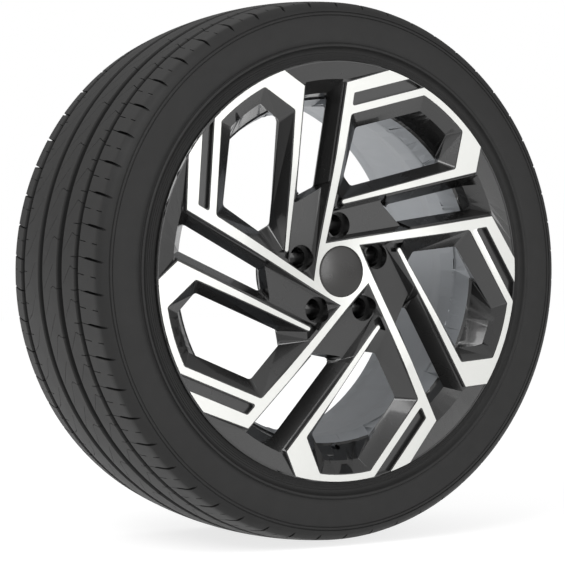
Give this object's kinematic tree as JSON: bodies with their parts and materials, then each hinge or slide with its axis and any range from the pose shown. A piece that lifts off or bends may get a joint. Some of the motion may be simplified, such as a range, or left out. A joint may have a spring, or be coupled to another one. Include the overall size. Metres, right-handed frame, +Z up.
{
  "type": "wheel and tyre",
  "caption": "Cast alloy wheel with hooked double spokes and a machined face, carrying a low-profile road tyre and a snap-in centre cap.",
  "frame": {"origin": "centre of the wheel, on the axle, in the rim's middle plane", "axes": "+Y along the axle, from the outer face towards the car; +Z up; the first hook's elbow is at the upper left seen from outside"},
  "size_m": [0.678, 0.2662, 0.6778],
  "materials": {
    "alloy": "machined face over gloss black paint",
    "tread_rubber": "satin moulded rubber",
    "cap_plastic": "satin black",
    "spring_wire": "drawn wire"
  },
  "bodies": {
    "root": {"wheel": "alloy", "tyre": "tread_rubber", "centre_cap": "cap_plastic", "cap_spring_ring": "spring_wire"}
  },
  "joints": []
}
